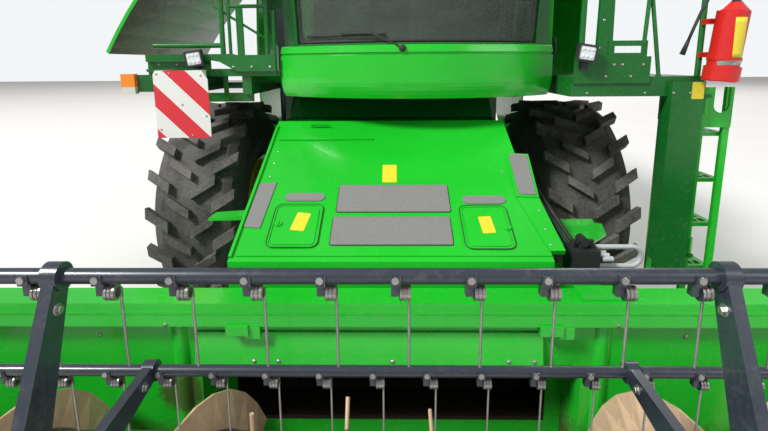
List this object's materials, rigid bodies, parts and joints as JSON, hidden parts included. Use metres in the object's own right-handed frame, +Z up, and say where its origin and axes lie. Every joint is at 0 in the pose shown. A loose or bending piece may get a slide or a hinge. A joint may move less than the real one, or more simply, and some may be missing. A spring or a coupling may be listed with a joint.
{
  "type": "combine harvester",
  "caption": "Self-propelled grain harvester with a wide cutting platform, a tined reel, a glazed cab over the feeder house, a grain tank and an unloading tube",
  "frame": {"origin": "Middle of the bounding box on the ground plane", "axes": "+X is the machine's left-hand side, -Y is the direction of travel, +Z is up"},
  "size_m": [6.22, 9.1, 3.79],
  "materials": {
    "green_paint": "clean gloss farm-machine green",
    "dark_green_paint": "dark green paint, satin",
    "black_paint": "black paint with a blue cast, satin",
    "yellow_paint": "yellow wheel paint",
    "worn_steel": "bare worn steel, dusty",
    "tyre_rubber": "dusty tyre rubber",
    "glass": "tinted clear glass",
    "black_plastic": "dark grey moulded plastic",
    "seat_fabric": "dark seat cloth",
    "red_paint": "signal red gloss",
    "grip_mat": "grey gritted anti-slip mat",
    "warning_white": "white sheet with red diagonals"
  },
  "bodies": {
    "chassis": {"main_frame": "dark_green_paint", "front_axle": "dark_green_paint", "rear_axle": "dark_green_paint", "separator_body": "green_paint", "side_frame": "dark_green_paint", "side_drives": "black_paint", "straw_hood": "green_paint", "straw_chopper": "dark_green_paint", "grain_tank": "green_paint", "engine_block": "worn_steel", "engine_hood": "green_paint", "exhaust_stack": "worn_steel", "fuel_tank": "green_paint", "cab_body": "dark_green_paint", "cab_glass": "glass", "cab_roof": "green_paint", "cab_panel": "green_paint", "operator_seat": "seat_fabric", "platform_left": "dark_green_paint", "platform_right": "dark_green_paint", "fire_extinguisher": "red_paint", "warning_plate": "warning_white", "lamps_and_mirrors": "black_plastic"},
    "wheel_front_left": {"tyre_front_left": "tyre_rubber", "rim_front_left": "yellow_paint"},
    "wheel_front_right": {"tyre_front_right": "tyre_rubber", "rim_front_right": "yellow_paint"},
    "knuckle_left": {"knuckle_left": "dark_green_paint"},
    "knuckle_right": {"knuckle_right": "dark_green_paint"},
    "tie_rod": {"tie_rod": "worn_steel"},
    "wheel_rear_left": {"tyre_rear_left": "tyre_rubber", "rim_rear_left": "yellow_paint"},
    "wheel_rear_right": {"tyre_rear_right": "tyre_rubber", "rim_rear_right": "yellow_paint"},
    "tank_cover_left": {"tank_cover_left": "green_paint"},
    "tank_cover_right": {"tank_cover_right": "green_paint"},
    "cab_door": {"cab_door": "green_paint"},
    "ladder": {"ladder": "green_paint"},
    "panel_front_left": {"panel_front_left": "green_paint"},
    "panel_front_right": {"panel_front_right": "green_paint"},
    "panel_rear_left": {"panel_rear_left": "green_paint"},
    "panel_rear_right": {"panel_rear_right": "green_paint"},
    "unloading_tube": {"unloading_tube": "green_paint"},
    "feeder": {"feeder_house": "green_paint", "grip_pads": "grip_mat", "header_hoses": "black_plastic", "header_frame": "green_paint", "knife_bar": "worn_steel"},
    "lift_barrels": {"lift_barrels": "black_paint"},
    "lift_rods": {"lift_rods": "worn_steel"},
    "header_auger": {"header_auger": "worn_steel"},
    "reel_arms": {"reel_arms": "black_paint"},
    "reel_carriers": {"reel_carriers": "black_paint"},
    "reel_frame": {"reel_frame": "black_paint"},
    "reel_bat_1": {"reel_bat_1": "black_paint"},
    "reel_bat_2": {"reel_bat_2": "black_paint"},
    "reel_bat_3": {"reel_bat_3": "black_paint"},
    "reel_bat_4": {"reel_bat_4": "black_paint"},
    "reel_bat_5": {"reel_bat_5": "black_paint"},
    "reel_bat_6": {"reel_bat_6": "black_paint"}
  },
  "joints": [
    {"name": "wheel_front_left_spin", "type": "hinge", "parent": "chassis", "child": "wheel_front_left", "pos_m": [1.425, -0.54, 0.9], "axis": [1, 0, 0], "continuous": true},
    {"name": "wheel_front_right_spin", "type": "hinge", "parent": "chassis", "child": "wheel_front_right", "pos_m": [-1.425, -0.54, 0.9], "axis": [1, 0, 0], "continuous": true},
    {"name": "steer_left", "type": "hinge", "parent": "chassis", "child": "knuckle_left", "pos_m": [0.97, 3.11, 0.65], "axis": [0, 0, 1], "range_deg": [-35, 35]},
    {"name": "wheel_rear_left_spin", "type": "hinge", "parent": "knuckle_left", "child": "wheel_rear_left", "pos_m": [1.3, 3.11, 0.65], "axis": [1, 0, 0], "continuous": true},
    {"name": "steer_right", "type": "hinge", "parent": "chassis", "child": "knuckle_right", "pos_m": [-0.97, 3.11, 0.65], "axis": [0, 0, 1], "range_deg": [-35, 35]},
    {"name": "wheel_rear_right_spin", "type": "hinge", "parent": "knuckle_right", "child": "wheel_rear_right", "pos_m": [-1.3, 3.11, 0.65], "axis": [1, 0, 0], "continuous": true},
    {"name": "tie_rod_turn", "type": "hinge", "parent": "knuckle_left", "child": "tie_rod", "pos_m": [0.97, 3.37, 0.557], "axis": [0, 0, 1], "range_deg": [-35, 35]},
    {"name": "feeder_lift", "type": "hinge", "parent": "chassis", "child": "feeder", "pos_m": [0, -0.95, 1.6], "axis": [-1, 0, 0], "range_deg": [-3, 14]},
    {"name": "lift_barrel_swing", "type": "hinge", "parent": "chassis", "child": "lift_barrels", "pos_m": [0, -0.76, 0.76], "axis": [-1, 0, 0], "range_deg": [-3, 12.5]},
    {"name": "lift_rod_slide", "type": "slide", "parent": "lift_barrels", "child": "lift_rods", "axis": [0, -0.9983, -0.0587], "range_m": [-0.05, 0.21]},
    {"name": "header_auger_spin", "type": "hinge", "parent": "feeder", "child": "header_auger", "pos_m": [0, -3.165, 0.645], "axis": [1, 0, 0], "continuous": true},
    {"name": "reel_lift", "type": "hinge", "parent": "feeder", "child": "reel_arms", "pos_m": [0, -2.83, 1.29], "axis": [-1, 0, 0], "range_deg": [0, 20]},
    {"name": "reel_reach", "type": "slide", "parent": "reel_arms", "child": "reel_carriers", "axis": [0, -0.9968, -0.0801], "range_m": [0, 0.25]},
    {"name": "reel_spin", "type": "hinge", "parent": "reel_carriers", "child": "reel_frame", "pos_m": [0, -3.95, 1.2], "axis": [1, 0, 0], "continuous": true},
    {"name": "reel_bat_1_turn", "type": "hinge", "parent": "reel_frame", "child": "reel_bat_1", "pos_m": [0, -3.41466, 1.25343], "axis": [1, 0, 0], "continuous": true},
    {"name": "reel_bat_2_turn", "type": "hinge", "parent": "reel_frame", "child": "reel_bat_2", "pos_m": [0, -3.7286, 1.69033], "axis": [1, 0, 0], "continuous": true},
    {"name": "reel_bat_3_turn", "type": "hinge", "parent": "reel_frame", "child": "reel_bat_3", "pos_m": [0, -4.26394, 1.6369], "axis": [1, 0, 0], "continuous": true},
    {"name": "reel_bat_4_turn", "type": "hinge", "parent": "reel_frame", "child": "reel_bat_4", "pos_m": [0, -4.48534, 1.14657], "axis": [1, 0, 0], "continuous": true},
    {"name": "reel_bat_5_turn", "type": "hinge", "parent": "reel_frame", "child": "reel_bat_5", "pos_m": [0, -4.1714, 0.70966], "axis": [1, 0, 0], "continuous": true},
    {"name": "reel_bat_6_turn", "type": "hinge", "parent": "reel_frame", "child": "reel_bat_6", "pos_m": [0, -3.63605, 0.7631], "axis": [1, 0, 0], "continuous": true},
    {"name": "tank_cover_left_lid", "type": "hinge", "parent": "chassis", "child": "tank_cover_left", "pos_m": [1.395, 0.77, 3.5753], "axis": [0, 1, 0], "range_deg": [0, 100]},
    {"name": "tank_cover_right_lid", "type": "hinge", "parent": "chassis", "child": "tank_cover_right", "pos_m": [-1.395, 0.77, 3.5753], "axis": [0, -1, 0], "range_deg": [0, 100]},
    {"name": "cab_door_hinge", "type": "hinge", "parent": "chassis", "child": "cab_door", "pos_m": [1.082, -0.418, 2.7], "axis": [0, 0, 1], "range_deg": [0, 80]},
    {"name": "ladder_swing", "type": "hinge", "parent": "chassis", "child": "ladder", "pos_m": [1.92, -1.68, 1.4], "axis": [0, 0, 1], "range_deg": [-165, 0]},
    {"name": "panel_front_left_hinge", "type": "hinge", "parent": "chassis", "child": "panel_front_left", "pos_m": [1.626, 0.56, 3.12], "axis": [0, -1, 0], "range_deg": [0, 70]},
    {"name": "panel_front_right_hinge", "type": "hinge", "parent": "chassis", "child": "panel_front_right", "pos_m": [-1.626, 0.4, 3.12], "axis": [0, 1, 0], "range_deg": [-38, 32]},
    {"name": "panel_rear_left_hinge", "type": "hinge", "parent": "chassis", "child": "panel_rear_left", "pos_m": [1.626, 2.26, 3.12], "axis": [0, -1, 0], "range_deg": [0, 70]},
    {"name": "panel_rear_right_hinge", "type": "hinge", "parent": "chassis", "child": "panel_rear_right", "pos_m": [-1.626, 2.26, 3.12], "axis": [0, 1, 0], "range_deg": [0, 70]},
    {"name": "unloading_tube_swing", "type": "hinge", "parent": "chassis", "child": "unloading_tube", "pos_m": [1.56, -0.18, 3.38], "axis": [0, 0, -1], "range_deg": [0, 100]}
  ],
  "couplings": [
    {"joint": "steer_right", "follows": "steer_left", "ratio": 1},
    {"joint": "tie_rod_turn", "follows": "steer_left", "ratio": -1},
    {"joint": "lift_barrel_swing", "follows": "feeder_lift", "ratio": 0.84},
    {"joint": "lift_rod_slide", "follows": "feeder_lift", "m_per_rad": 0.832},
    {"joint": "reel_bat_1_turn", "follows": "reel_spin", "ratio": -1},
    {"joint": "reel_bat_2_turn", "follows": "reel_spin", "ratio": -1},
    {"joint": "reel_bat_3_turn", "follows": "reel_spin", "ratio": -1},
    {"joint": "reel_bat_4_turn", "follows": "reel_spin", "ratio": -1},
    {"joint": "reel_bat_5_turn", "follows": "reel_spin", "ratio": -1},
    {"joint": "reel_bat_6_turn", "follows": "reel_spin", "ratio": -1}
  ]
}
